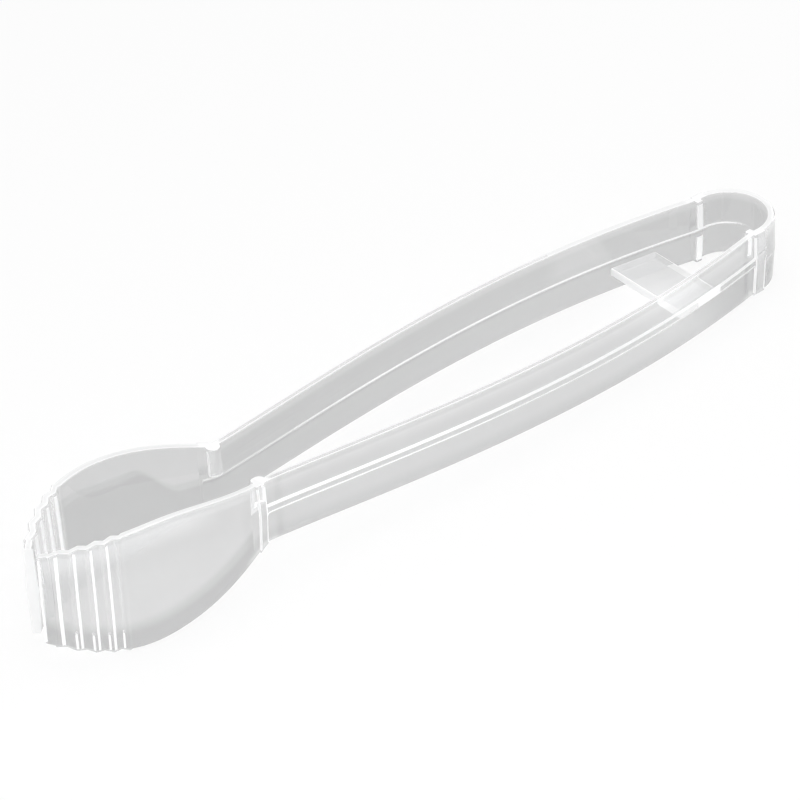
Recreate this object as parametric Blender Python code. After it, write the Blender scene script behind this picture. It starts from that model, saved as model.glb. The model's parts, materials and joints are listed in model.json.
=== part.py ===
# Clear plastic serving tongs: one moulding, divided where its own form changes.
# Modelled on its own mid planes, then laid down on a flat surface as it would rest.

import math

import bmesh
import bpy

mm = 0.001
degree = math.pi / 180

# Whole tongs: tips at -X, spring loop at +X, left side at -Y, right side at +Y.
overall_length = 230 * mm
joint_gap = 0.3 * mm  # between neighbouring pieces

# Wall: both faces lean out from its edges to the parting plane, where it is thickest.
edge_wall = 2.0 * mm
draft_angle = 2.2 * degree
edge_radius = 0.35 * mm
edge_steps = 3

# Neck, the corner where a bowl meets its arm, with a bar outside and a half-round post inside,
# which stands on the parting plane and reaches up to the upper edge.
neck_from_tips = 58.0 * mm
neck_offset = 9.5 * mm  # from the centre plane to the middle of the wall
neck_height = 17.8 * mm
neck_round = 2.0 * mm  # length on each side of the corner over which the wall turns
neck_bar_width = 3.0 * mm
post_radius = 1.7 * mm
post_steps = 6

# Arm
arm_bow = 7.0 * mm  # how far it swells outwards between its two corners
bow_peak_share = 0.57  # where it swells most, along the arm from the neck
arm_stations = 34

# Rib along the arm's outer face, from the parting plane up, between two sunk panels.
rib_height = 1.8 * mm
rib_rise = 0.5 * mm
rib_flank = 0.2 * mm  # below its crest, down to the parting plane, and at the ends of the panels
rib_upper_flank = 0.4 * mm
panel_corner = 0.9 * mm
corner_steps = 4

# Low ridge along the inner face of arm and loop.
ridge_height = 0.6 * mm
ridge_rise = 0.25 * mm
ridge_flank = 0.15 * mm

# Corner where an arm meets the loop, with a flat bar inside and a wider one outside.
corner_height = 18.6 * mm
corner_round = 1.5 * mm
corner_straight = 2.3 * mm  # from the corner to the start of the half round
outer_bar_width = 3.6 * mm
inner_bar_width = 1.5 * mm
inner_bar_past = 0.55 * mm  # from the corner to the middle of the bar, towards the loop
inner_bar_rise = 1.2 * mm
bar_flank = 0.15 * mm
parting_relief = 2.6 * mm  # plain strip that the post and the inner bar leave at the parting plane

# Spring loop
loop_radius = 10.75 * mm  # to the middle of the wall
loop_stations = 28

# Bowl
bowl_reach = 14.2 * mm  # from the centre plane to the middle of the wall where it is deepest
bowl_height = 33.8 * mm
tip_height = 25.2 * mm
tip_opening = 0.9 * mm  # between the two tips at rest, at the parting plane
deepest_share = 0.57  # of the way from the tip to the neck
tallest_share = 0.39
bowl_front_power = 3.0
shoulder_slope = 1.3  # how steeply the outline runs into the neck
bowl_stations = 26

# Grip: the wall of the tip is folded into upright pleats.
pleat_pitch = 3.5 * mm
pleat_depth = 0.9 * mm
pleat_count = 4
first_pleat = 3.4 * mm  # from the tip to the first inner crest
crest_share = 0.08  # of the pitch, on each side of a crest or trough that is blunted

# Stop tab on the right arm, which keeps a hard squeeze from crossing the arms.
tab_width = 14.0 * mm
tab_thickness = 2.2 * mm
tab_below_parting = 1.6 * mm  # from the parting plane down to its upper face
tab_from_corner = 19.6 * mm  # from the arm's corner at the loop back to the middle of the tab
tab_clearance = 1.2 * mm  # between its free end and the left arm
tab_edge = 0.25 * mm
tab_edge_steps = 2


def wall_half(height, level):
    """Half the wall's thickness at a level, measured from the parting plane."""
    return edge_wall / 2 + (height / 2 - abs(level)) * math.tan(draft_angle)


loop_centre = overall_length - loop_radius - wall_half(corner_height, 0)
corner_from_tips = loop_centre - corner_straight
arm_length = corner_from_tips - neck_from_tips
arm_first = neck_from_tips - neck_bar_width
arm_last = corner_from_tips + outer_bar_width
deepest = neck_from_tips * deepest_share
tallest = neck_from_tips * tallest_share
tip_offset = tip_opening / 2 + wall_half(tip_height, 0)
bow_power = math.log(0.5) / math.log(bow_peak_share)

neck_turn = (loop_radius - neck_offset) / arm_length + 2 * (bowl_reach - neck_offset) / (neck_from_tips - deepest)
corner_turn = (4 * arm_bow * bow_power - loop_radius + neck_offset) / arm_length


def rounding(x, corner, reach, turn):
    """What a rounded corner adds to two lines that meet there with a change of slope."""
    left = max(reach - abs(x - corner), 0)
    return turn * left ** 2 / (4 * reach)


def wall_offset(x):
    """Middle of the wall, outwards from the centre plane, from the tip to the loop."""
    if x < deepest:
        y = bowl_reach - (bowl_reach - tip_offset) * (1 - x / deepest) ** bowl_front_power
    elif x < neck_from_tips:
        back = (x - deepest) / (neck_from_tips - deepest)
        y = bowl_reach - (bowl_reach - neck_offset) * back ** 2
    elif x < corner_from_tips:
        share = (x - neck_from_tips) / arm_length
        swell = share ** bow_power
        y = neck_offset + (loop_radius - neck_offset) * share + arm_bow * 4 * swell * (1 - swell)
    else:
        past = max(x - loop_centre, 0)
        y = math.sqrt(loop_radius ** 2 - past ** 2)
    y += rounding(x, neck_from_tips, neck_round, neck_turn)
    return y + rounding(x, corner_from_tips, corner_round, corner_turn)


def wall_height(x):
    """Full height of the wall, from the tip to the loop."""
    if x < tallest:
        return bowl_height - (bowl_height - tip_height) * (1 - x / tallest) ** 2
    if x < neck_from_tips:
        back = (x - tallest) / (neck_from_tips - tallest)
        drop = back ** 2 * (3 - 2 * back) - back ** 2 * (1 - back) * shoulder_slope
        return bowl_height - (bowl_height - neck_height) * drop
    share = min((x - neck_from_tips) / arm_length, 1)
    return neck_height + (corner_height - neck_height) * share


def outward_at(x):
    """Direction square to the wall, outwards."""
    reach = joint_gap / 2
    rise = wall_offset(x + reach) - wall_offset(x - reach)
    size = math.hypot(2 * reach, rise)
    return -rise / size, 2 * reach / size


def rounded_edge(side, end, height, rise):
    """Rounded edge of the wall's section, from its face round to its top or bottom."""
    points = []
    for step in range(edge_steps + 1):
        turn = math.pi / 2 * step / edge_steps
        across = edge_wall / 2 + rise - edge_radius * (1 - math.cos(turn))
        level = height / 2 - edge_radius * (1 - math.sin(turn))
        points.append((side * across, end * level))
    return points


def mirrored(uppers):
    """Levels from bottom to top, from those above the parting plane."""
    return [-level for level in reversed(uppers)] + [0] + uppers


def face_points(side, height, levels, rises):
    """One face of the section from bottom to top, standing out by a rise at each level."""
    return [(side * (wall_half(height, level) + rise), level) for level, rise in zip(levels, rises)]


def section(height, outer_levels, outer_rises, inner_levels, inner_rises):
    """Closed section of the wall, with its outer face at +."""
    outer = face_points(1, height, outer_levels, outer_rises)
    inner = face_points(-1, height, inner_levels, inner_rises)
    up = rounded_edge(1, -1, height, outer_rises[0])[::-1] + outer
    up += rounded_edge(1, 1, height, outer_rises[-1])
    down = rounded_edge(-1, 1, height, inner_rises[-1])[::-1] + inner[::-1]
    return up + down + rounded_edge(-1, -1, height, inner_rises[0])


def shoulder(height):
    """Level just short of the rounded edge."""
    return height / 2 - 2 * edge_radius


def ridge_points(height):
    """Levels and rises of an inner face with the low ridge."""
    levels = mirrored([ridge_height / 2, ridge_height / 2 + ridge_flank, shoulder(height)])
    return levels, [ridge_rise if abs(level) <= ridge_height / 2 else 0 for level in levels]


def arm_section(x):
    """Rib outside and ridge inside, with the wall beside them raised where a bar or post crosses."""
    height = wall_height(x)
    low = rib_flank - rib_flare(x)
    high = rib_flank + rib_height + rib_flare(x)
    outer_levels = [-shoulder(height), low - rib_flank, low, high, high + rib_upper_flank, shoulder(height)]
    beside_rib = 0 if neck_from_tips <= x <= corner_from_tips else rib_rise
    outer_rises = [rib_rise if low <= level <= high else beside_rib for level in outer_levels]
    ridge, relief = ridge_height / 2, parting_relief / 2
    inner_levels = mirrored([ridge, ridge + ridge_flank, relief, relief + bar_flank, shoulder(height)])
    inner_rises = []
    for level in inner_levels:
        beside_ridge = inner_rise(x, level) if abs(level) > relief else 0
        inner_rises.append(ridge_rise if abs(level) <= ridge else beside_ridge)
    return section(height, outer_levels, outer_rises, inner_levels, inner_rises)


def rib_flare(x):
    """How far the rib widens into the end bars, round each panel's corners."""
    inside = min(x - neck_from_tips, corner_from_tips - x)
    reach = min(max(panel_corner - inside, 0), panel_corner)
    return panel_corner - math.sqrt(panel_corner ** 2 - reach ** 2)


def inner_rise(x, level):
    """How far the neck post or the loop's bar stands out of the arm's inner face."""
    from_post = abs(x - neck_from_tips)
    if from_post < post_radius:
        return math.sqrt(post_radius ** 2 - from_post ** 2) if level > 0 else 0
    into_bar = inner_bar_width / 2 + bar_flank - abs(x - corner_from_tips - inner_bar_past)
    return inner_bar_rise * min(max(into_bar / bar_flank, 0), 1)


def arm_places():
    """Places of the arm's sections: close together at its bars and corners, even between them."""
    places = {arm_first + joint_gap / 2, arm_last - joint_gap / 2}
    for step in range(post_steps + 1):
        places.add(neck_from_tips - post_radius * math.cos(math.pi * step / post_steps))
    for step in range(corner_steps + 1):
        inside = panel_corner * (1 - math.cos(math.pi / 2 * step / corner_steps))
        places.update((neck_from_tips + inside, corner_from_tips - inside))
    places.update((neck_from_tips - rib_flank, corner_from_tips + rib_flank))
    bar_middle = corner_from_tips + inner_bar_past
    for reach in (inner_bar_width / 2, inner_bar_width / 2 + bar_flank):
        places.update((bar_middle - reach, bar_middle + reach))
    first = neck_from_tips + neck_round
    last = corner_from_tips - corner_round
    for step in range(arm_stations + 1):
        places.add(first + (last - first) * step / arm_stations)
    return sorted(places)


def pleat_shift(x):
    """Shift of the folded wall: inwards at each inner crest, outwards halfway between two."""
    turns = (x - first_pleat) / pleat_pitch
    if turns < -0.5 or turns > pleat_count - 0.5:
        return 0
    fold = abs(turns % 1 - 0.5) * 4 - 1
    return -pleat_depth / 2 * fold


def bowl_places():
    """Places of the bowl's sections: at the corners of each pleat, then even up to the neck."""
    last = arm_first - joint_gap / 2
    places = {0, last}
    for step in range(-1, 2 * pleat_count):
        middle = first_pleat + pleat_pitch * step / 2
        for share in (-crest_share, crest_share):
            places.add(middle + share * pleat_pitch)
    first = first_pleat + pleat_pitch * (pleat_count - 0.25)
    for step in range(bowl_stations):
        places.add(first + (last - first) * step / bowl_stations)
    return sorted(place for place in places if 0 <= place <= last)


def plastic(name):
    """Clear plastic, as a material of its own for each piece."""
    material = bpy.data.materials.new(name)
    material.use_nodes = True
    shader = material.node_tree.nodes["Principled BSDF"]
    shader.inputs["Base Color"].default_value = (0.80, 0.82, 0.83, 1)
    shader.inputs["Roughness"].default_value = 0.06
    shader.inputs["Metallic"].default_value = 0
    shader.inputs["IOR"].default_value = 1.585
    shader.inputs["Transmission Weight"].default_value = 0.9
    return material


def add_object(name, mesh, parent):
    thing = bpy.data.objects.new(name, mesh)
    bpy.context.collection.objects.link(thing)
    mesh.materials.append(plastic(name + "_plastic"))
    thing.parent = parent
    return thing


def sweep(name, path, outward, sections, side, parent, pivot):
    """Wall lofted through a section at each point of the path, and closed at both ends."""
    shape = bmesh.new()
    rings = []
    for (x, y), (across_x, across_y), outline in zip(path, outward, sections):
        ring = []
        for across, level in outline:
            place = (x + across * across_x, side * (y + across * across_y))
            ring.append(shape.verts.new((place[0] - pivot[0], place[1] - pivot[1], level)))
        rings.append(ring)
    count = len(rings[0])
    for ring, following in zip(rings, rings[1:]):
        for index in range(count):
            after = (index + 1) % count
            shape.faces.new((ring[index], ring[after], following[after], following[index]))
    shape.faces.new(rings[0][::-1])
    shape.faces.new(rings[-1])
    bmesh.ops.recalc_face_normals(shape, faces=shape.faces)
    mesh = bpy.data.meshes.new(name)
    shape.to_mesh(mesh)
    shape.free()
    mesh.shade_smooth()
    mesh.set_sharp_from_angle(angle=25 * degree)
    return add_object(name, mesh, parent)


def make_arm(name, side, parent, pivot):
    """Bowed arm with its rib, end bars, neck post and the bar at its corner."""
    places = arm_places()
    path = [(x, wall_offset(x)) for x in places]
    outward = [outward_at(x) for x in places]
    sections = [arm_section(x) for x in places]
    return sweep(name, path, outward, sections, side, parent, pivot)


def make_bowl(name, side, parent, pivot):
    """Bowl wall, pleated at the tip, taller in its middle and creased at the parting plane."""
    path, outward, sections = [], [], []
    for x in bowl_places():
        across_x, across_y = outward_at(x)
        shift = pleat_shift(x)
        height = wall_height(x)
        levels = mirrored([shoulder(height)])
        flat = [0] * len(levels)
        path.append((x + shift * across_x, wall_offset(x) + shift * across_y))
        outward.append((across_x, across_y))
        sections.append(section(height, levels, flat, levels, flat))
    return sweep(name, path, outward, sections, side, parent, pivot)


def make_loop(name, parent):
    """Half-round spring that joins the two arms, with their ridge carried on inside."""
    start = arm_last + joint_gap / 2
    first_turn = math.asin(max(start - loop_centre, 0) / loop_radius)
    turns = [first_turn + (math.pi - 2 * first_turn) * step / loop_stations for step in range(loop_stations + 1)]
    path = [(loop_centre + loop_radius * math.sin(turn), loop_radius * math.cos(turn)) for turn in turns]
    outward = [(math.sin(turn), math.cos(turn)) for turn in turns]
    if start < loop_centre:
        path = [(start, loop_radius)] + path + [(start, -loop_radius)]
        outward = [(0, 1)] + outward + [(0, -1)]
    outer_levels = mirrored([shoulder(corner_height)])
    ridge = ridge_points(corner_height)
    outline = section(corner_height, outer_levels, [0] * len(outer_levels), *ridge)
    return sweep(name, path, outward, [outline] * len(path), 1, parent, (0, 0))


def make_tab(name, parent, pivot):
    """Flat tab that stands on the right arm, with its free end along the left arm."""
    middle = corner_from_tips - tab_from_corner
    wall = wall_half(wall_height(middle), tab_below_parting)
    corners = []
    for x in (middle - tab_width / 2, middle + tab_width / 2):
        corners.append((x, wall_offset(x) - wall - joint_gap))
    for x in (middle + tab_width / 2, middle - tab_width / 2):
        corners.append((x, wall + tab_clearance - wall_offset(x)))
    shape = bmesh.new()
    ring = [shape.verts.new((x - pivot[0], y - pivot[1], -tab_below_parting)) for x, y in corners]
    grown = bmesh.ops.extrude_face_region(shape, geom=[shape.faces.new(ring)])
    moved = [item for item in grown["geom"] if isinstance(item, bmesh.types.BMVert)]
    bmesh.ops.translate(shape, verts=moved, vec=(0, 0, -tab_thickness))
    bmesh.ops.recalc_face_normals(shape, faces=shape.faces)
    mesh = bpy.data.meshes.new(name)
    shape.to_mesh(mesh)
    shape.free()
    tab = add_object(name, mesh, parent)
    bevel = tab.modifiers.new("edges", "BEVEL")
    bevel.width = tab_edge
    bevel.segments = tab_edge_steps
    bevel.limit_method = "ANGLE"
    return tab


def rest_tilt():
    """Angle at which the loop's lower corner and the bowls' lower edges touch a flat surface."""
    places = bowl_places()
    return max(
        math.atan2(wall_height(x) - corner_height, 2 * (overall_length - x)) for x in places
    )


def add_empty(name, location, parent):
    marker = bpy.data.objects.new(name, None)
    bpy.context.collection.objects.link(marker)
    marker.empty_display_size = corner_height
    marker.parent = parent
    marker.location = location
    return marker


def settle(frame):
    """Lays the tongs down, with the origin under the middle of them all."""
    frame.rotation_euler = (0, rest_tilt(), 0)
    bpy.context.view_layer.update()
    corners = [
        thing.matrix_world @ vertex.co
        for thing in bpy.data.objects if thing.type == "MESH"
        for vertex in thing.data.vertices
    ]
    low_x = min(corner.x for corner in corners)
    high_x = max(corner.x for corner in corners)
    frame.location = (-(low_x + high_x) / 2, 0, -min(corner.z for corner in corners))


for thing in list(bpy.data.objects):
    bpy.data.objects.remove(thing, do_unlink=True)

rest_frame = add_empty("rest_frame", (0, 0, 0), None)
make_loop("spring_loop", rest_frame)
for word, side in (("left", -1), ("right", 1)):
    pivot = (arm_last, side * wall_offset(arm_last))
    flex_axis = add_empty(word + "_flex_axis", (*pivot, 0), rest_frame)
    make_arm(word + "_arm", side, flex_axis, pivot)
    make_bowl(word + "_bowl", side, flex_axis, pivot)
    if side > 0:
        make_tab("stop_tab", flex_axis, pivot)
settle(rest_frame)
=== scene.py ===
import bpy
import json
import math
from mathutils import Matrix, Vector


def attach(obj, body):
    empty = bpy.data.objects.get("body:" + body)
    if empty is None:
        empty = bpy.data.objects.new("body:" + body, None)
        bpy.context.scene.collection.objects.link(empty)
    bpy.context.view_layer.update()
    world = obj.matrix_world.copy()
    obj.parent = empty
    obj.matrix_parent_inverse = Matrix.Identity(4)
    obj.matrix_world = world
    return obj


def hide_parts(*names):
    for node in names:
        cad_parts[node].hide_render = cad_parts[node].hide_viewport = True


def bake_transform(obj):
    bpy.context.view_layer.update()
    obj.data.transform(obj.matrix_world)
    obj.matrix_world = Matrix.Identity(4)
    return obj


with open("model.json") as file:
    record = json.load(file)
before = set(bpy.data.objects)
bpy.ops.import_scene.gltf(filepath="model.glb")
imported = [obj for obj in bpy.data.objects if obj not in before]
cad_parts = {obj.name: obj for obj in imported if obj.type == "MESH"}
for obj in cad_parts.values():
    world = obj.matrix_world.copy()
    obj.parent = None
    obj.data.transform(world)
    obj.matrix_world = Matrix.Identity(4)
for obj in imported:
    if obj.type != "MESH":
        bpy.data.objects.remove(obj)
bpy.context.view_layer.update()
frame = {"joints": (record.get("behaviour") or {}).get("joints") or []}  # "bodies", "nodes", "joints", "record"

mm = 0.001
degree = math.pi / 180

# The wall that all pieces are drawn from: both faces lean out to the parting plane.
# A Light is painted light and shade: the share of light that the clear plastic lets through there, made darker
# or lighter where shadow and reflections fall. Its white lines are painted highlights: how white it is painted
# there. A Band is measured from an edge of the wall: the edge's tone ends over it.
wall = {
    "length": 230 * mm,
    "edge": 1.98 * mm,  # thickness at its rims
    "draft": 2.2 * degree,
    "edgeRadius": 0.42 * mm,
    "edgeSteps": 6,
    "arris": 0.1 * mm,  # width of the painted highlight along each side of the rim
    "arrisHighlight": 0.9,
    "arrisRise": (0.4, 0.9),  # shares of the edge's rounding between which that line sets in
    "lowerEdge": 0.15,  # how white the lower rim's painted highlight is, against the upper one
    "topSteps": (0.4 * mm, 0.8 * mm, 1.2 * mm, 1.7 * mm, 2.4 * mm, 3.4 * mm),  # below its flat top
    "softEdge": 0.12 * mm,  # over which a painted highlight fades
    "seam": 0.3 * mm,  # between the neighbouring solids of the frame
    "gap": 0.02 * mm,  # and between the pieces here, which read as one moulding
    "slopeReach": 0.15 * mm,  # each way, over which its slope is taken
    "merge": 0.001 * mm,  # points closer than this become one
    "smoothUnder": 28 * degree,  # faces that turn less than this are shaded as one surface
}
neck = {
    "fromTips": 58.0 * mm,
    "offset": 9.5 * mm,  # of the wall's middle, from the centre plane
    "height": 17.8 * mm,
    "round": 2.0 * mm,  # each way, over which the wall turns
    "barWidth": 3.0 * mm,
    "postRadius": 1.7 * mm,
    # the post's white is a painted highlight, and the bar's light is painted light beside the neck
    "postHighlight": 0.25,
    "postFoot": (0.7, 0.9),  # shares of its radius between which its painted highlight whitens to its foot
    "barLight": 0.86,
}
arm = {
    "bow": 7.0 * mm,
    "bowPeakShare": 0.57,  # where along the arm it bows out most
    "spacing": 0.6 * mm,  # of the sections along the arm
    "fineSpacing": 0.16 * mm,  # of the sections round its posts and bars
    "rimHighlight": 0.4,  # how white the rim's painted highlight is between its two painted highlights at the arrises
    "rimWhitens": ((150 * mm, 180 * mm), (195 * mm, 212 * mm)),  # where the rim's painted highlight whitens, on the right arm, on the left
    # painted shade in a darker line just under the rim, from outside
    "rimLight": 0.61,
    "rimBand": (0.9 * mm, 1.7 * mm),
    "topLight": 0.75,  # painted light of the upper panel, which darkens down to the rib in painted shade
    "topBand": (1.8 * mm, 5.0 * mm),
    "ribLight": 0.63,
    "lowerLight": 0.645,  # painted tone of the lower panel
    "bottomLight": 0.58,  # and the painted shadow along its lower edge
    "bottomBand": 3.5 * mm,
    "loopLight": 0.51,  # painted shade of the lower panel, next to the loop
    "loopFade": 45 * mm,
    # its inner face is painted darker than its outer one, and lighter under its rims
    "insideRimLight": 0.72,
    "insideBand": (0.9 * mm, 2.4 * mm),
    "insideLight": 0.555,
    "insideLoopLight": 0.59,
    "panelLight": 0.63,  # painted light on a lighter stretch of the upper panel, inside
    "panelFrom": (168 * mm, 176 * mm),
    "panelTo": (190 * mm, 191 * mm),
    "panelSlant": 0.5,  # of its end, against the height
    "lift": 0.6,  # how much lighter its outer face and darker its inner face are painted near its ends, so that what stands inside shows through more clearly
    "endLift": (5.5 * mm, 8 * mm),
    "parallax": 2 * mm,  # how far on, along the wall, its inner face is seen through the outer one
}
corner = {  # where the arm meets the loop
    "height": 18.6 * mm,
    "round": 1.5 * mm,
    "straight": 2.3 * mm,  # from there to the half circle
    "outerBarWidth": 3.6 * mm,
    "innerBarWidth": 1.5 * mm,
    "innerBarPast": 0.55 * mm,
    "innerBarRise": 1.2 * mm,
    "flank": 0.15 * mm,
    "relief": 2.6 * mm,  # height of the break in the inner bar, for the ridge
    "lowerThrough": 0.1,  # how much of the painted highlight on the inner bar's lower half shows from outside
}
loop = {
    "radius": 10.75 * mm,
    "sections": 90,
    "levelShares": (0.25, 0.5),  # where it has points between the parting plane and its rims
    "blendLength": 8 * mm,  # of each arm next to the loop; its ends are worked out, but nothing here bends
    "rimHighlight": 0.85,
    # painted light and shade of the loop: white under its rims, lighter above, darker below its parting plane,
    # its inside darker
    "rimLight": 1.0,
    "topLight": 0.74,
    "topBand": (0.8 * mm, 3.2 * mm),
    "middleLight": 0.66,
    "lowerLight": 0.50,
    "lowerShare": 0.25,  # of its half height, over which that painted shade sets in
    "insideLight": 0.585,
    # a painted highlight along its parting line
    "partingLine": 0.2 * mm,
    "partingHighlight": 0.4,
    "ridgeFade": (0.2, 0.5),  # shares of its half circle between which the ridge's painted highlight fades
}
bowl = {
    "reach": 14.2 * mm,
    "height": 33.78 * mm,
    "tipHeight": 25.2 * mm,
    "tipOpening": 0.9 * mm,
    "deepestShare": 0.57,
    "tallestShare": 0.39,
    "frontPower": 3.0,  # how bluntly it rounds to the tip
    "shoulderSlope": 1.3,  # how late it draws in to the neck
    "spacing": 0.6 * mm,  # of its sections
    "levels": 22,  # points of a section, from the parting plane up
    "rimHighlight": 0.75,
    # painted light and shade of the bowl: lighter towards its top, painted shadow along its lower edge, its
    # inside darker below a level and near the tips
    "light": 0.665,
    "rimLight": 0.68,
    "rimBand": (0.9 * mm, 1.5 * mm),
    "lineLight": 0.79,  # a painted highlight follows the rim, just below it
    "lineBand": (2.0 * mm, 3.0 * mm),
    "topLight": 0.78,
    "topBand": (3 * mm, 9 * mm),  # down from the rim, and
    "topFade": (30 * mm, 46 * mm),  # along from the tips, between which it fades
    "lowLight": 0.52,  # painted shadow along the lower edge
    "lowBand": (4.4 * mm, 7.2 * mm),
    "insideLight": 0.65,
    "insideLowLight": 0.545,
    "insideTipLight": 0.58,
    "insideTip": (14 * mm, 18 * mm),
    "insideLevel": 8.5 * mm,  # above which the inside is painted lighter
    "insideRise": (18 * mm, 36 * mm, 2.5 * mm),  # how far that lies higher near the tips
    "insideDrop": (38 * mm, 50 * mm, 9 * mm),  # and lower near the neck
    "insideFade": 1 * mm,
    "endLift": (6 * mm, 2 * mm),  # from the arm, where the painted lift of its faces starts, so that what stands inside shows through
}


def wallHalf(height, level):
    return wall["edge"] / 2 + (height / 2 - abs(level)) * math.tan(wall["draft"])


loopCentre = wall["length"] - loop["radius"] - wallHalf(corner["height"], 0)
cornerFromTips = loopCentre - corner["straight"]
armLength = cornerFromTips - neck["fromTips"]
armFirst = neck["fromTips"] - neck["barWidth"]  # its piece starts and ends with a bar
armLast = cornerFromTips + corner["outerBarWidth"]
deepest = neck["fromTips"] * bowl["deepestShare"]
tallest = neck["fromTips"] * bowl["tallestShare"]
tipOffset = bowl["tipOpening"] / 2 + wallHalf(bowl["tipHeight"], 0)
bowPower = math.log(0.5) / math.log(arm["bowPeakShare"])
widening = (loop["radius"] - neck["offset"]) / armLength  # slope of the arm, without its bow
neckTurn = widening + 2 * (bowl["reach"] - neck["offset"]) / (neck["fromTips"] - deepest)
cornerTurn = 4 * arm["bow"] * bowPower / armLength - widening


def rounding(x, place, reach, turn):  # of the wall's middle line, where its slope turns
    left = max(reach - abs(x - place), 0)
    return turn * left ** 2 / (4 * reach)


def wallOffset(x):  # middle of the wall, outwards from the centre plane
    if x < deepest:
        y = bowl["reach"] - (bowl["reach"] - tipOffset) * (1 - x / deepest) ** bowl["frontPower"]
    elif x < neck["fromTips"]:
        back = (x - deepest) / (neck["fromTips"] - deepest)
        y = bowl["reach"] - (bowl["reach"] - neck["offset"]) * back ** 2
    elif x < cornerFromTips:
        share = (x - neck["fromTips"]) / armLength
        swell = share ** bowPower
        y = neck["offset"] + widening * armLength * share + arm["bow"] * 4 * swell * (1 - swell)
    else:
        y = math.sqrt(loop["radius"] ** 2 - max(x - loopCentre, 0) ** 2)
    y += rounding(x, neck["fromTips"], neck["round"], neckTurn)
    return y + rounding(x, cornerFromTips, corner["round"], cornerTurn)


def wallHeight(x):
    if x < tallest:
        return bowl["height"] - (bowl["height"] - bowl["tipHeight"]) * (1 - x / tallest) ** 2
    if x < neck["fromTips"]:
        back = (x - tallest) / (neck["fromTips"] - tallest)
        drop = back ** 2 * (3 - 2 * back) - back ** 2 * (1 - back) * bowl["shoulderSlope"]
        return bowl["height"] - (bowl["height"] - neck["height"]) * drop
    share = min((x - neck["fromTips"]) / armLength, 1)
    return neck["height"] + (corner["height"] - neck["height"]) * share


def outwardAt(x):  # square to the wall
    reach = wall["slopeReach"]
    rise = wallOffset(x + reach) - wallOffset(x - reach)
    size = math.hypot(2 * reach, rise)
    return -rise / size, 2 * reach / size


# The tongs lie tilted: the frame's joints say how, and where.
flex = {joint["name"]: joint for joint in frame["joints"]}
flexAxis = Vector(flex["left_flex"]["axis"]).normalized()
tilt = math.atan2(flexAxis.x, flexAxis.z)
leftPivot = Vector(flex["left_flex"]["pos_m"])
lay = Matrix.Rotation(tilt, 4, "Y")
shift = leftPivot - lay @ Vector((armLast, -wallOffset(armLast), 0))
lay = Matrix.Translation(shift) @ lay


def ramp(value, low, high):  # 0 before low, 1 past high, smooth between
    share = min(max((value - low) / (high - low), 0), 1)
    return share * share * (3 - 2 * share)


def between(first, last, share):
    return first + (last - first) * share


# Points of a section: (outwards, level, painted highlight seen from outside, painted highlight seen from
# inside).
def edgeArc(side, end, height, rise, rimHighlight):
    half = wall["edge"] / 2 + rise
    flat = half - wall["edgeRadius"]
    points = []
    for step in range(wall["edgeSteps"] + 1):
        share = step / wall["edgeSteps"]
        turn = math.pi / 2 * share
        across = flat + wall["edgeRadius"] * math.cos(turn)
        level = height / 2 - wall["edgeRadius"] * (1 - math.sin(turn))
        points.append((across, level, ramp(share, *wall["arrisRise"])))
    points.append((flat - wall["arris"], height / 2, 1))
    points.append((flat - wall["arris"] - wall["softEdge"], height / 2, rimHighlight))
    strength = max(wall["arrisHighlight"], rimHighlight) * (1 if end > 0 else wall["lowerEdge"])
    return [
        (side * across, end * level, strength * highlight, strength * highlight)
        for across, level, highlight in points
    ]


def section(height, outer, inner, rimHighlight):
    # outer: (level, rise, painted highlight); inner: (level, rise, painted highlight, share of it that shows
    # from outside)
    up = edgeArc(1, -1, height, outer[0][1], rimHighlight)[::-1]
    for level, rise, highlight in outer:
        up.append((wallHalf(height, level) + rise, level, highlight, 0))
    up += edgeArc(1, 1, height, outer[-1][1], rimHighlight)
    down = edgeArc(-1, 1, height, inner[-1][1], rimHighlight)[::-1]
    for level, rise, highlight, through in reversed(inner):
        down.append((-wallHalf(height, level) - rise, level, highlight * through, highlight))
    return up + down + edgeArc(-1, -1, height, inner[0][1], rimHighlight)


def flatTop(height):  # the highest level of the wall's flat faces, below its rounded rim
    return height / 2 - 2 * wall["edgeRadius"]


def rimLevels(top):
    return [top - step for step in reversed(wall["topSteps"])] + [top]


def bothWays(uppers):
    return [-level for level in reversed(uppers)] + [0] + uppers


# What stands on the arm's wall: the rib outside and the ridge inside.
rib = {
    "height": 1.8 * mm,  # from the parting plane up
    "rise": 0.5 * mm,
    "flank": 0.2 * mm,
    "upperFlank": 0.4 * mm,
    "panelCorner": 0.9 * mm,
    "upperLine": 0.05 * mm,  # width of the painted highlight on the rib itself, beside its flank
    "lowerLine": 0.4 * mm,
    "lineHighlight": 0.75,  # whiteness of both painted highlights, past the arm's middle; nearer to the tips they are whiter
    "lineFade": (105 * mm, 140 * mm),
    "endLine": 0.32 * mm,  # of the painted highlights at the ends of the panels and bars
    "endStep": 0.05 * mm,  # over which a bar rises from the wall
}
ridge = {
    "height": 0.6 * mm,
    "rise": 0.25 * mm,
    "flank": 0.15 * mm,
    "line": 0.15 * mm,  # width of the painted highlight along its upper edge
    "neckHighlight": 0.5,
    "loopHighlight": 0.9,
    "highlightRise": (62 * mm, 110 * mm),
    "through": 0.35,  # how much of its painted highlight shows from outside
    "underLight": 0.46,
    "underShare": 0.25,  # of its height, below which the painted shadow line under it starts
}


def ribFlare(x):  # how far it widens into the end bars, round each panel's corners
    inside = min(x - neck["fromTips"], cornerFromTips - x)
    reach = min(max(rib["panelCorner"] - inside, 0), rib["panelCorner"])
    return rib["panelCorner"] - math.sqrt(rib["panelCorner"] ** 2 - reach ** 2)


def innerRise(x, level):
    fromPost = abs(x - neck["fromTips"])
    if fromPost < neck["postRadius"]:
        return math.sqrt(neck["postRadius"] ** 2 - fromPost ** 2) if level > 0 else 0
    fromBar = abs(x - cornerFromTips - corner["innerBarPast"])
    intoBar = corner["innerBarWidth"] / 2 + corner["flank"] - fromBar
    return corner["innerBarRise"] * min(max(intoBar / corner["flank"], 0), 1)


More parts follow.
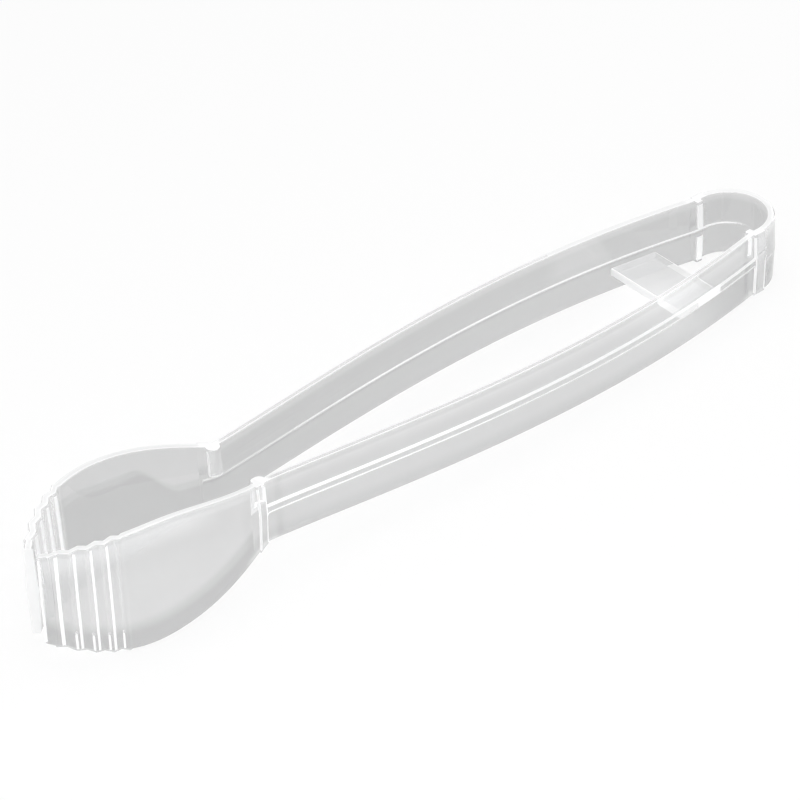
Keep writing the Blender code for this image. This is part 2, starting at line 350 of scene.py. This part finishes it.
def outerArm(x, side, top):
    soft, low = wall["softEdge"], rib["flank"] - ribFlare(x)
    high = rib["flank"] + rib["height"] + ribFlare(x)
    lowLine = (low - rib["flank"], low + rib["lowerLine"])
    highLine = (high - rib["upperLine"], high + rib["upperFlank"] + rib["upperLine"])
    fromStep = min(x - armFirst, armLast - x) - wall["gap"] / 2
    fromPanel = min(x - neck["fromTips"], cornerFromTips - x)
    onBar = fromPanel < 0
    barRise = rib["rise"] * min(max(fromStep / rib["endStep"], 0), 1)
    lineHighlight = between(1, rib["lineHighlight"], ramp(x, *rib["lineFade"]))
    onTabEnd = side < 0 and tab["paintedTabEnd"][0] < x - tabMiddle < tab["paintedTabEnd"][1]
    levels = [-top, (lowLine[0] - top) / 2]
    levels += [lowLine[0] - soft, lowLine[0], low, lowLine[1], lowLine[1] + soft]
    levels += [highLine[0] - soft, highLine[0], high, high + rib["upperFlank"]]
    levels += [highLine[1], highLine[1] + soft]
    levels += rimLevels(top)
    points = []
    for level in levels:
        onRib = low <= level <= high
        onLine = lowLine[0] <= level <= lowLine[1] or highLine[0] <= level <= highLine[1]
        # the lines on the rib and at the ends of the panels and bars are painted highlights
        highlight = lineHighlight if onLine and not onBar else 0
        if fromStep < rib["endLine"] or abs(fromPanel + rib["flank"] / 2) < rib["endLine"]:
            highlight = 1
        if armLast - x < corner["outerBarWidth"] / 2 and level > 0:
            highlight = 0
        # a painted highlight on the left arm's rib, where the tab's free end is seen through it
        if onTabEnd and (onRib or onLine):
            highlight = 1
        rise = barRise if onBar else rib["rise"] if onRib else 0
        points.append((level, rise, highlight))
    return points


def innerArm(x, top):
    soft, crest, relief = wall["softEdge"], ridge["height"] / 2, corner["relief"] / 2
    uppers = [crest - ridge["line"], crest, crest + ridge["flank"], crest + ridge["flank"] + soft]
    uppers += [relief, relief + corner["flank"], relief + corner["flank"] + soft]
    uppers += rimLevels(top)
    fromPost = abs(x - neck["fromTips"])
    lit = between(ridge["neckHighlight"], ridge["loopHighlight"], ramp(x, *ridge["highlightRise"]))
    points = []
    for level in bothWays(uppers):
        rise = innerRise(x, level) if abs(level) > relief else 0
        highlight, through = 0, 1
        # a painted highlight along the ridge's upper edge
        if crest - ridge["line"] <= level <= crest + ridge["flank"]:
            highlight, through = lit, ridge["through"]
        # the bars are painted white as highlights; the post's body is less white, but for its foot
        if rise > 0:
            highlight = 1
            if fromPost < neck["postRadius"] and level > relief + corner["flank"] + soft / 2:
                foot = ramp(fromPost / neck["postRadius"], *neck["postFoot"])
                highlight = between(neck["postHighlight"], 1, foot)
            elif level < 0:
                through = corner["lowerThrough"]
        points.append((level, ridge["rise"] if abs(level) <= crest else rise, highlight, through))
    return points


def armSection(x, side):
    height = wallHeight(x)
    top = flatTop(height)
    fromCap = min(x - neck["fromTips"], cornerFromTips - x)
    # the rim's painted highlight whitens towards the loop, and fully round the posts at the neck and the corner
    white = ramp(x, *arm["rimWhitens"][0 if side > 0 else 1])
    rimHighlight = between(arm["rimHighlight"], loop["rimHighlight"], white)
    rimHighlight = between(1, rimHighlight, ramp(fromCap, neck["postRadius"], 2 * neck["postRadius"]))
    return section(height, outerArm(x, side, top), innerArm(x, top), rimHighlight)


# Painted light and shade of the arm, from outside: a darker line under the rim, a lighter upper panel darkening
# down to the rib, darker towards its lower edge and the loop; its inner face is painted darker.
def armLight(x, level, outerFace):
    half = wallHeight(x) / 2
    fromRim = half - level
    outside = between(arm["topLight"], arm["ribLight"], ramp(fromRim, *arm["topBand"]))
    outside = between(arm["rimLight"], outside, ramp(fromRim, *arm["rimBand"]))
    if level <= 0:
        nearLoop = ramp(x, armLast - arm["loopFade"], armLast)
        lower = between(arm["lowerLight"], arm["loopLight"], nearLoop)
        bottom = min(arm["bottomLight"], lower)
        outside = between(lower, bottom, ramp(-level, half - arm["bottomBand"], half))
    # painted light beside the neck
    if x < neck["fromTips"] and level > 0:
        outside = neck["barLight"]
    seenAt = x if outerFace else x - arm["parallax"]
    lift = arm["lift"] * (1 - ramp(min(seenAt - armFirst, armLast - seenAt), *arm["endLift"]))
    outside **= 1 - lift if outerFace else 1 + lift
    lighter = 0
    if level > 0:
        slanted = x + arm["panelSlant"] * level
        lighter = ramp(x, *arm["panelFrom"]) * (1 - ramp(slanted, *arm["panelTo"]))
    along = ramp(x, neck["fromTips"], cornerFromTips)
    inside = between(arm["insideLight"], arm["insideLoopLight"], along)
    inside = between(inside, arm["panelLight"], lighter)
    inside = between(arm["insideRimLight"], inside, ramp(fromRim, *arm["insideBand"]))
    # a painted shadow line under the ridge
    if -ridge["height"] < level < -ridge["height"] * ridge["underShare"]:
        inside = ridge["underLight"]
    if x < neck["fromTips"] + neck["postRadius"] and level > 0:
        inside = bowl["insideLight"]
    return outside, inside


def armPlaces():
    first, last = armFirst + wall["gap"] / 2, armLast - wall["gap"] / 2
    places = {first + rib["endStep"], last - rib["endStep"]}

    def fill(low, high, spacing):
        steps = math.ceil((high - low) / spacing)
        places.update(low + (high - low) * step / steps for step in range(steps + 1))

    fill(first, neck["fromTips"] + neck["round"], arm["fineSpacing"])
    fill(neck["fromTips"] + neck["round"], cornerFromTips - corner["round"], arm["spacing"])
    fill(cornerFromTips - corner["round"], last, arm["fineSpacing"])
    places.update((neck["fromTips"] - rib["flank"], cornerFromTips + rib["flank"]))
    return sorted(places)


# The grip pleats, folded into the bowl's wall at its tip, with painted highlights along their crests.
pleats = {
    "pitch": 3.5 * mm,
    "depth": 0.9 * mm,
    "count": 4,
    "first": 3.4 * mm,
    "bluntShare": 0.1,
    "spacing": 0.1 * mm,
    "tipLine": (0.25 * mm, 0.5 * mm),  # the painted highlight along the tip's edges
    "outerFirst": 2.95 * mm,  # the crests' painted highlights, as they show from outside
    "outerPitch": 3.2 * mm,
    "outerHalves": (0.36 * mm, 0.3 * mm, 0.3 * mm, 0.36 * mm),
    "creaseFirst": 5.3 * mm,  # and the short ones between them, along the lower edge
    "creasePitch": 3.08 * mm,
    "creaseHalf": 0.26 * mm,
    "creaseHighlight": 0.22,  # how white they are painted above that edge
    "innerShares": (0.7, 0.6, 0.55, 0.6),  # half widths of the painted highlights on the crests, inside
    "outerCore": 0.7,  # share of a painted highlight that is at its whitest, from outside
    "innerCore": 0.6,  # and from inside
    # painted light on the inside of the pleats
    "insideLight": 0.74,
}


def pleatAt(x):  # which pleat, and how far from its inner crest: 0 there, 1 halfway to the next
    turns = (x - pleats["first"]) / pleats["pitch"]
    if turns < -0.5 or turns > pleats["count"] - 0.5:
        return None, None
    number = min(max(round(turns), 0), pleats["count"] - 1)
    return number, min(abs(turns - number) * 2, 1)


def pleatFold(x):  # 1 at an inner crest, -1 halfway between two, None past the last
    number, away = pleatAt(x)
    if number is None:
        return None
    blunt = pleats["bluntShare"]
    if away < blunt:
        return 1 - blunt - away ** 2 / blunt
    if away > 1 - blunt:
        return -1 + blunt + (1 - away) ** 2 / blunt
    return 1 - 2 * away


def fromLine(x, first, pitch):  # which of the lines is nearest, and how far
    number = min(max(round((x - first) / pitch), 0), pleats["count"] - 1)
    return number, abs(x - first - number * pitch)


def bowlSection(x):
    height = wallHeight(x)
    top = flatTop(height)
    number, away = pleatAt(x)
    uppers = {top * (step + 1) / bowl["levels"] for step in range(bowl["levels"])}
    uppers.update(top - step for step in wall["topSteps"])
    # painted highlights: along the pleats' crests, along short lines between them that are whitest near the
    # lower edge, and along the tip
    line, fromCrest = fromLine(x, pleats["outerFirst"], pleats["outerPitch"])
    half = pleats["outerHalves"][line]
    crest = 1 - ramp(fromCrest, pleats["outerCore"] * half, half)
    fromCrease = fromLine(x, pleats["creaseFirst"], pleats["creasePitch"])[1]
    half = pleats["creaseHalf"]
    crease = 1 - ramp(fromCrease, pleats["outerCore"] * half, half)
    tip = 1 - ramp(x, *pleats["tipLine"])
    inside = tip
    if number is not None:
        wide = pleats["innerShares"][number]
        inside = max(tip, 1 - ramp(away, wide * pleats["innerCore"], wide))
    outer, inner = [], []
    for level in bothWays(sorted(uppers)):
        low = 1 - ramp(height / 2 + level, *bowl["lowBand"])
        outer.append((level, 0, max(tip, crest, crease * max(low, pleats["creaseHighlight"]))))
        inner.append((level, 0, inside, 0))
    return section(height, outer, inner, bowl["rimHighlight"])


# Painted light and shade of the bowl; next to the arm its outer face is painted lighter and its inner face
# darker.
def bowlLight(x, level, outerFace):
    half = wallHeight(x) / 2
    fromRim = half - level
    high = (1 - ramp(fromRim, *bowl["topBand"])) * (1 - ramp(x, *bowl["topFade"]))
    outside = between(bowl["light"], bowl["topLight"], high)
    outside = between(max(outside, bowl["lineLight"]), outside, ramp(fromRim, *bowl["lineBand"]))
    outside = between(bowl["rimLight"], outside, ramp(fromRim, *bowl["rimBand"]))
    outside = between(bowl["lowLight"], outside, ramp(half + level, *bowl["lowBand"]))
    seenAt = x if outerFace else x - arm["parallax"]
    liftStart, liftEnd = bowl["endLift"]
    lift = arm["lift"] * ramp(seenAt, armFirst - liftStart, armFirst - liftEnd)
    outside **= 1 - lift if outerFace else 1 + lift
    riseStart, riseEnd, rise = bowl["insideRise"]
    dropStart, dropEnd, drop = bowl["insideDrop"]
    lightLevel = bowl["insideLevel"] + rise * (1 - ramp(x, riseStart, riseEnd))
    lightLevel -= drop * ramp(x, dropStart, dropEnd)
    above = ramp(level, lightLevel - bowl["insideFade"], lightLevel)
    inside = between(bowl["insideLowLight"], bowl["insideLight"], above)
    inside = between(min(inside, bowl["insideTipLight"]), inside, ramp(x, *bowl["insideTip"]))
    if pleatAt(x)[0] is not None:
        inside = pleats["insideLight"]
    return outside, inside


def bowlPlaces():
    last = armFirst - wall["gap"] / 2
    pleatEnd = pleats["first"] + pleats["pitch"] * (pleats["count"] - 0.5)
    fine = math.ceil(pleatEnd / pleats["spacing"])
    plain = math.ceil((last - pleatEnd) / bowl["spacing"])
    places = [wall["gap"] / 2 + pleatEnd * step / fine for step in range(fine)]
    return places + [pleatEnd + (last - pleatEnd) * step / plain for step in range(plain + 1)]


# What the clear plastic's nodes read at each point of a wall.
lookWords = ("outerFace", "highlightOutside", "highlightInside", "lightOutside", "lightInside")


def layWall(name, rings, lightAt, side=1):
    # rings: (place, middle of the wall, outward direction, section)
    # a grid is wrapped round the sections, closed along its seam and over its two ends
    last, points = len(rings) - 1, len(rings[0][3])
    bpy.ops.object.select_all(action="DESELECT")
    bpy.ops.mesh.primitive_grid_add(x_subdivisions=last, y_subdivisions=points, size=1)
    piece = bpy.context.object
    piece.name = piece.data.name = name
    for word in lookWords:
        piece.data.attributes.new(word, "FLOAT", "POINT")
    looks = [piece.data.attributes[word].data for word in lookWords]
    for vertex in piece.data.vertices:
        place, middle, outward, outline = rings[round((vertex.co.x + 0.5) * last)]
        point = round((vertex.co.y + 0.5) * points) % points
        across, level, highlightOutside, highlightInside = outline[point]
        x = middle[0] + across * outward[0]
        y = middle[1] + across * outward[1]
        vertex.co = lay @ Vector((x, side * y, level))
        lightOutside, lightInside = lightAt(place, level, across > 0)
        values = (1 if across > 0 else 0, highlightOutside, highlightInside, lightOutside, lightInside)
        for look, value in zip(looks, values):
            look[vertex.index].value = value
    bpy.ops.object.mode_set(mode="EDIT")
    bpy.ops.mesh.select_all(action="SELECT")
    bpy.ops.mesh.remove_doubles(threshold=wall["merge"])
    bpy.ops.mesh.select_mode(type="EDGE")
    bpy.ops.mesh.select_all(action="DESELECT")
    bpy.ops.mesh.select_non_manifold()
    bpy.ops.mesh.fill_holes(sides=0)
    bpy.ops.mesh.select_all(action="SELECT")
    bpy.ops.mesh.normals_make_consistent(inside=False)
    bpy.ops.object.mode_set(mode="OBJECT")
    finishPiece(piece)
    return piece


def finishPiece(piece):
    for material in materials:
        piece.data.materials.append(material)
    tipX = (lay @ Vector((wall["edge"], 0, 0))).x  # just past the tips
    for face in piece.data.polygons:
        if len(face.vertices) > 4:  # an end: a tip, or a seam that the real moulding doesn't have
            atTip = face.center.x < tipX
            face.material_index = materials.index(milkyPlastic if atTip else seamFace)
    bpy.ops.object.select_all(action="DESELECT")
    piece.select_set(True)
    bpy.context.view_layer.objects.active = piece
    bpy.ops.object.shade_smooth_by_angle(angle=wall["smoothUnder"])


# The painted light and shade of the clear plastic, and its painted highlights, are laid on its points.
plasticLook = {
    "clear": (0.994, 0.997, 1.0, 1),  # hue of the light that comes through
    "white": (0.96, 0.962, 0.965, 1),  # of its painted highlights
    "milky": (0.86, 0.862, 0.864, 1),  # of the end faces at the tips
    "bend": 1.05,  # refraction of the body, kept low so that the thin walls read cleanly
    "shine": 1.585,  # and of its polished skin
    "skin": 0.6,
    "roughness": 0.02,
    "highlightRoughness": 0.4,
    "highlightThrough": 0.15,
    "milkyThrough": 0.3,
    "grainSize": 900,  # of the painted highlight faces and the milky faces
    "grainRoughness": (0.3, 0.45),
    "rippleSize": 40,  # of the clear faces
    "rippleDepth": 0.001 * mm,
    "facesOfWall": 2,  # which light from behind a wall has crossed
    "fadeBehind": 0.97,  # how far a second wall, seen through the first, fades
    "edgeGlow": 1.5,  # painted glow of the white edges, seen through a wall before them
    "shadow": (0.85, 0.85, 0.85, 1),  # how pale the clear wall's shadow is
}


def addNode(tree, kind, x, y, **values):
    node = tree.nodes.new(kind)
    node.location = (x, y)
    for name, value in values.items():
        if hasattr(node, name):
            setattr(node, name, value)
        else:
            node.inputs[name].default_value = value
    return node


def mathNode(tree, operation, x, y, first, second):
    node = addNode(tree, "ShaderNodeMath", x, y, operation=operation)
    for socket, value in zip(node.inputs, (first, second)):
        if isinstance(value, (int, float)):
            socket.default_value = value
        elif value is not None:
            tree.links.new(value, socket)
    return node.outputs[0]


def mixNode(tree, kind, x, y, factor, first, second):
    node = addNode(tree, "ShaderNodeMix", x, y, data_type=kind)
    place = {"FLOAT": (2, 3, 0), "RGBA": (6, 7, 2)}[kind]
    sockets = (node.inputs[0], node.inputs[place[0]], node.inputs[place[1]])
    for socket, value in zip(sockets, (factor, first, second)):
        if isinstance(value, (int, float, tuple)):
            socket.default_value = value
        else:
            tree.links.new(value, socket)
    return node.outputs[place[2]]


def mixShaders(tree, x, y, factor, first, second):  # and lead the mix to the material's output
    mix = addNode(tree, "ShaderNodeMixShader", x, y)
    for socket, value in zip(mix.inputs, (factor, first, second)):
        tree.links.new(value, socket)
    tree.links.new(mix.outputs[0], tree.nodes["Material Output"].inputs["Surface"])
    return mix.outputs[0]


def noiseNode(tree, x, y, scale):
    place = addNode(tree, "ShaderNodeTexCoord", x - 200, y)
    noise = addNode(tree, "ShaderNodeTexNoise", x, y, Scale=scale)
    tree.links.new(place.outputs["Object"], noise.inputs["Vector"])
    return noise.outputs["Fac"]


def startMaterial(name):
    material = bpy.data.materials.new(name)
    material.use_nodes = True
    return material, material.node_tree


def startPlain(name):  # without the shader that a new material comes with
    material, tree = startMaterial(name)
    tree.nodes.remove(tree.nodes["Principled BSDF"])
    return material, tree


def letThrough(tree, path, shader, hidden):
    # its shadow stays pale; where it is hidden, nothing of it shows from within clear plastic
    unseen = path.outputs["Is Shadow Ray"]
    if hidden:
        unseen = mathNode(tree, "ADD", 0, 400, unseen, path.outputs["Is Transmission Ray"])
    through = addNode(tree, "ShaderNodeBsdfTransparent", 0, 0)
    through.inputs["Color"].default_value = (1, 1, 1, 1) if hidden else plasticLook["shadow"]
    return mixShaders(tree, 300, 200, unseen, shader, through.outputs[0])


def shineThrough(tree, path, shader):
    # painted glow: edges gather light, so they are made to emit light and show white through a wall before them
    crossed = path.outputs["Transmission Depth"]
    behind = mathNode(tree, "COMPARE", 300, 500, crossed, plasticLook["facesOfWall"])
    glow = addNode(tree, "ShaderNodeEmission", 300, -100, Strength=plasticLook["edgeGlow"])
    mixShaders(tree, 500, 200, behind, shader, glow.outputs[0])


def polish(shader):
    shader.inputs["IOR"].default_value = plasticLook["bend"]
    shader.inputs["Coat Weight"].default_value = plasticLook["skin"]
    shader.inputs["Coat IOR"].default_value = plasticLook["shine"]
    shader.inputs["Coat Roughness"].default_value = plasticLook["roughness"]


def makePlastic(name):
    material, tree = startMaterial(name)
    link = tree.links.new
    shader = tree.nodes["Principled BSDF"]
    polish(shader)

    def attribute(word, y):
        return addNode(tree, "ShaderNodeAttribute", -1500, y, attribute_name=word).outputs["Fac"]

    def mix(x, y, factor, first, second, kind="FLOAT"):
        return mixNode(tree, kind, x, y, factor, first, second)

    # light runs through the wall from its outer face, or from its inner one, and each side has its own painted
    # light and shade, the inner one darker
    back = addNode(tree, "ShaderNodeNewGeometry", -1500, 600).outputs["Backfacing"]
    across = mathNode(tree, "SUBTRACT", -1300, 600, attribute("outerFace", 400), back)
    fromOutside = mathNode(tree, "ABSOLUTE", -1150, 600, across, None)
    path = addNode(tree, "ShaderNodeLightPath", -1500, 900)
    crossed = path.outputs["Transmission Depth"]
    second = mathNode(tree, "GREATER_THAN", -1300, 900, crossed, plasticLook["facesOfWall"] - 0.5)
    behind = mathNode(tree, "MULTIPLY", -1150, 900, second, plasticLook["fadeBehind"])
    inside, outside = attribute("lightInside", 200), attribute("lightOutside", 0)
    light = mix(-900, 300, fromOutside, inside, outside)
    light = mix(-700, 300, behind, light, 1.0)
    inside, outside = attribute("highlightInside", -200), attribute("highlightOutside", -400)
    highlight = mix(-900, -200, fromOutside, inside, outside)
    highlight = mix(-700, -200, behind, highlight, 0.0)
    # the painted light and shade darkens the plastic's hue, and the painted highlights whiten it
    paintedTone = mix(-500, 300, light, (0, 0, 0, 1), plasticLook["clear"], "RGBA")
    link(mix(-300, 300, highlight, paintedTone, plasticLook["white"], "RGBA"), shader.inputs["Base Color"])
    rough = mix(-300, 0, highlight, plasticLook["roughness"], plasticLook["highlightRoughness"])
    link(rough, shader.inputs["Roughness"])
    through = mix(-300, -200, highlight, 1.0, plasticLook["highlightThrough"])
    link(through, shader.inputs["Transmission Weight"])
    bump = addNode(tree, "ShaderNodeBump", -400, -700, Distance=plasticLook["rippleDepth"])
    link(noiseNode(tree, -700, -700, plasticLook["rippleSize"]), bump.inputs["Height"])
    link(bump.outputs["Normal"], shader.inputs["Normal"])
    # painted glow of the tab's clear faces, where they are seen through a wall before them
    glow = mathNode(tree, "MULTIPLY", -700, -500, second, attribute("glow", -600))
    link(glow, shader.inputs["Emission Strength"])
    letThrough(tree, path, shader.outputs[0], False)
    return material


# white faces: the tab's edges painted white as highlights, and the milky end faces at the tips
def makeMilkyOrHighlight(name, colour, transmission, glows):
    material, tree = startMaterial(name)
    shader = tree.nodes["Principled BSDF"]
    polish(shader)
    shader.inputs["Base Color"].default_value = colour
    shader.inputs["Transmission Weight"].default_value = transmission
    grain = noiseNode(tree, -650, 0, plasticLook["grainSize"])
    rough = mixNode(tree, "FLOAT", -400, -100, grain, *plasticLook["grainRoughness"])
    tree.links.new(rough, shader.inputs["Roughness"])
    path = addNode(tree, "ShaderNodeLightPath", -300, 700)
    through = letThrough(tree, path, shader.outputs[0], True)
    if glows:
        shineThrough(tree, path, through)
    return material


def makeSeam(name):
    material, tree = startPlain(name)
    clear = addNode(tree, "ShaderNodeBsdfTransparent", 0, 0)
    tree.links.new(clear.outputs[0], tree.nodes["Material Output"].inputs["Surface"])
    return material


clearPlastic = makePlastic("clearPlastic")
# the tab's rounded edges and borders are painted white as highlights
highlightEdge = makeMilkyOrHighlight("highlightEdge", plasticLook["white"], plasticLook["highlightThrough"], True)
milkyPlastic = makeMilkyOrHighlight("milkyPlastic", plasticLook["milky"], plasticLook["milkyThrough"], False)
seamFace = makeSeam("seamFace")
materials = [clearPlastic, highlightEdge, seamFace, milkyPlastic]
print("materials ready")


def makeArm(name, side):
    rings = []
    for x in armPlaces():
        rings.append((x, (x, wallOffset(x)), outwardAt(x), armSection(x, side)))
    return layWall(name, rings, armLight, side)


def makeBowl(name, side):
    rings = []
    for x in bowlPlaces():
        outward = outwardAt(x)
        moved = -pleats["depth"] / 2 * (pleatFold(x) or 0)
        middle = (x + moved * outward[0], wallOffset(x) + moved * outward[1])
        rings.append((x, middle, outward, bowlSection(x)))
    return layWall(name, rings, bowlLight, side)


def loopSection(share):  # share of the half circle, from the right arm
    top = flatTop(corner["height"])
    crest, soft, parting = ridge["height"] / 2, wall["softEdge"], loop["partingLine"]
    tops = rimLevels(top)
    middles = [top * part for part in loop["levelShares"]]
    outer = []
    for level in bothWays([parting, parting + soft] + middles + tops):
        outer.append((level, 0, loop["partingHighlight"] if abs(level) <= parting else 0))
    inner = []
    lit = ridge["loopHighlight"] * (1 - ramp(share, *loop["ridgeFade"]))
    foot = crest + ridge["flank"]
    for level in bothWays([crest - ridge["line"], crest, foot, foot + soft] + tops):
        onLine = crest - ridge["line"] <= level <= foot
        inner.append((level, ridge["rise"] if abs(level) <= crest else 0, lit if onLine else 0, 0))
    return section(corner["height"], outer, inner, loop["rimHighlight"])


def loopLight(share, level, outerFace):  # painted light and shade, the same all along it, and for both faces
    half = corner["height"] / 2
    fromRim = half - level
    outside = between(loop["topLight"], loop["middleLight"], min(fromRim / half, 1))
    outside = between(loop["rimLight"], outside, ramp(fromRim, *loop["topBand"]))
    if level < 0:
        below = ramp(-level, 0, half * loop["lowerShare"])
        outside = between(loop["middleLight"], loop["lowerLight"], below)
    inside = between(arm["insideRimLight"], loop["insideLight"], ramp(fromRim, *arm["insideBand"]))
    return outside, inside


def makeLoop(name):
    start = armLast + wall["gap"] / 2
    firstTurn = math.asin(max(start - loopCentre, 0) / loop["radius"])
    rings = []
    for step in range(loop["sections"] + 1):
        share = step / loop["sections"]
        turn = firstTurn + (math.pi - 2 * firstTurn) * share
        outward = (math.sin(turn), math.cos(turn))
        middle = (loopCentre + loop["radius"] * outward[0], loop["radius"] * outward[1])
        rings.append((share, middle, outward, loopSection(share)))
    return layWall(name, rings, loopLight)


tab = {
    "width": 14.0 * mm,
    "thickness": 2.2 * mm,
    "belowParting": 1.6 * mm,
    "fromCorner": 19.6 * mm,
    "clearance": 1.2 * mm,
    "edge": 0.3 * mm,
    "edgeSteps": 4,
    # its rounded edges and a border at each end are painted white as highlights
    "border": 0.45 * mm,
    "light": 0.74,
    "glow": 0.12,  # painted glow of its clear faces, seen through a wall before them
    "paintedTabEnd": (-4.5 * mm, 4.6 * mm),  # where a painted highlight on the left arm's rib stands for its white free end, seen through
    "flatFrom": 0.99,  # a face is flat where its normal points up or down by more than this
    "joinFrom": 0.3,  # and joins the wall where it points there by more than this
}
tabMiddle = cornerFromTips - tab["fromCorner"]


def makeTab(name):
    # a block cut to the bow of the two arms, its edges rounded and painted white as highlights round its flat
    # faces
    half = wallHalf(wallHeight(tabMiddle), tab["belowParting"])
    low, high = tabMiddle - tab["width"] / 2, tabMiddle + tab["width"] / 2
    bpy.ops.object.select_all(action="DESELECT")
    bpy.ops.mesh.primitive_cube_add(size=1)
    piece = bpy.context.object
    piece.name = piece.data.name = name
    for vertex in piece.data.vertices:
        x = high if vertex.co.x > 0 else low
        fixedEnd = wallOffset(x) - half - wall["seam"]
        freeEnd = half + tab["clearance"] - wallOffset(x)
        y = fixedEnd if vertex.co.y > 0 else freeEnd
        z = -tab["belowParting"] - (0 if vertex.co.z > 0 else tab["thickness"])
        vertex.co = lay @ Vector((x, y, z))
    bpy.ops.object.modifier_add(type="BEVEL")
    bevel = piece.modifiers[-1]
    bevel.width = tab["edge"]
    bevel.segments = tab["edgeSteps"]
    bpy.ops.object.modifier_apply(modifier=bevel.name)
    along = lay.to_3x3() @ Vector((1, 0, 0))
    bpy.ops.object.mode_set(mode="EDIT")
    for x, turned in ((low + tab["border"], 1), (high - tab["border"], -1)):
        bpy.ops.mesh.select_all(action="SELECT")
        bpy.ops.mesh.bisect(plane_co=lay @ Vector((x, 0, 0)), plane_no=along * turned)
    bpy.ops.object.mode_set(mode="OBJECT")
    finishPiece(piece)
    back = lay.inverted()
    for face in piece.data.polygons:
        fromMiddle = abs((back @ face.center).x - tabMiddle)
        normal = back.to_3x3() @ face.normal
        inner = fromMiddle < tab["width"] / 2 - tab["border"] and abs(normal.z) > tab["flatFrom"]
        isClear = inner or normal.y > tab["joinFrom"]
        face.material_index = materials.index(clearPlastic if isClear else highlightEdge)
    values = dict.fromkeys(lookWords, 0)
    values.update(lightOutside=tab["light"], lightInside=tab["light"], glow=tab["glow"])
    for word, value in values.items():
        for item in piece.data.attributes.new(word, "FLOAT", "POINT").data:
            item.value = value
    return piece


springLoop = makeLoop("springLoop")
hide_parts("spring_loop")
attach(springLoop, "loop")
print("loop ready")
blendEnd = armLast - loop["blendLength"]
for word, side in (("left", -1), ("right", 1)):
    body = word + "_side"
    bowlPiece = makeBowl(word + "Bowl", side)
    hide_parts(word + "_bowl")
    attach(bowlPiece, body)
    armPiece = makeArm(word + "Arm", side)
    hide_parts(word + "_arm")
    start = lay @ Vector((armLast, side * wallOffset(armLast), 0))
    end = lay @ Vector((blendEnd, side * wallOffset(blendEnd), 0))
    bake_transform(armPiece)
    print(word, "side ready")
stopTab = makeTab("stopTab")
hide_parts("stop_tab")
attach(stopTab, "right_side")
print("pieces ready")

studio = {
    "floorSize": 6.0,
    "floorDrop": 0.1 * mm,  # below the tongs
    "floorColour": (0.9, 0.9, 0.9, 1),
    "shadowShare": 0.3,  # how much of the floor's shading shows
    "ambient": 0.6,  # light from all round
    "lampSize": 0.8,
    "lamps": {"frontLamp": ((-0.5, -0.8, 0.8), 8.5), "backLamp": ((0.4, 0.2, 1.3), 4)},
}


def seenRays(tree):  # 1 for what the camera sees, also by reflection and through clear plastic
    path = addNode(tree, "ShaderNodeLightPath", -900, 300)
    camera, glossy = path.outputs["Is Camera Ray"], path.outputs["Is Glossy Ray"]
    seen = mathNode(tree, "ADD", -700, 300, camera, glossy)
    seen = mathNode(tree, "ADD", -550, 300, seen, path.outputs["Is Transmission Ray"])
    seen.node.use_clamp = True
    return seen


def makeFloor():
    bpy.ops.object.select_all(action="DESELECT")
    below = (0, 0, -studio["floorDrop"])
    bpy.ops.mesh.primitive_plane_add(size=studio["floorSize"], location=below)
    floor = bpy.context.object
    floor.name = "floor"
    material, tree = startPlain("paleFloor")
    chalk = addNode(tree, "ShaderNodeBsdfDiffuse", -200, 100, Color=studio["floorColour"])
    glow = addNode(tree, "ShaderNodeEmission", -200, -100)
    share = mathNode(tree, "MULTIPLY", -400, 300, seenRays(tree), 1 - studio["shadowShare"])
    mixShaders(tree, 0, 0, share, chalk.outputs[0], glow.outputs[0])
    floor.data.materials.append(material)


def makeWorld():
    world = bpy.data.worlds.new("studio")
    bpy.context.scene.world = world
    world.use_nodes = True
    tree = world.node_tree
    ground = tree.nodes["Background"]
    strength = mixNode(tree, "FLOAT", -350, 0, seenRays(tree), studio["ambient"], 1.0)
    tree.links.new(strength, ground.inputs["Strength"])
    ground.inputs["Color"].default_value = (1, 1, 1, 1)


def addLamp(name, place, power):
    lamp = bpy.data.lights.new(name, "AREA")
    lamp.energy = power
    lamp.size = studio["lampSize"]
    holder = bpy.data.objects.new(name, lamp)
    bpy.context.scene.collection.objects.link(holder)
    holder.location = place
    holder.rotation_euler = (-Vector(place)).to_track_quat("-Z", "Y").to_euler()


# The camera was fitted to the photograph with the tongs lying at this pitch.
view = {
    "azimuth": -37.159 * degree,
    "elevation": 37.466 * degree,
    "roll": -4.079 * degree,
    "distance": 945.7 * mm,
    "targetFromTips": 115 * mm,
    "pitch": 2.2 * degree,
    "lens": 173.43,
    "sensor": 36,
    "shiftX": -0.0275,
    "shiftY": -0.001,
    "clipStart": 10 * mm,
}


def makeCamera():
    azimuth, elevation, roll = view["azimuth"], view["elevation"], view["roll"]
    flat = math.cos(elevation)
    back = Vector((math.sin(azimuth) * flat, -math.cos(azimuth) * flat, math.sin(elevation)))
    right = Vector((math.cos(azimuth), math.sin(azimuth), 0))
    up = back.cross(right)
    turned = math.cos(roll) * right + math.sin(roll) * up
    up = math.cos(roll) * up - math.sin(roll) * right
    target = lay @ Vector((view["targetFromTips"], 0, 0))
    aim = Matrix((turned, up, back)).transposed().to_4x4()
    aim = Matrix.Rotation(tilt - view["pitch"], 4, "Y") @ aim
    aim.translation = target + view["distance"] * aim.col[2].to_3d()
    data = bpy.data.cameras.new("camera")
    data.lens = view["lens"]
    data.sensor_width = view["sensor"]
    data.shift_x = view["shiftX"]
    data.shift_y = view["shiftY"]
    data.clip_start = view["clipStart"]
    camera = bpy.data.objects.new("camera", data)
    bpy.context.scene.collection.objects.link(camera)
    camera.matrix_world = aim
    bpy.context.scene.camera = camera


makeFloor()
makeWorld()
for word, (place, power) in studio["lamps"].items():
    addLamp(word, place, power)
makeCamera()
bpy.context.scene.view_settings.view_transform = "Standard"
print("studio ready")
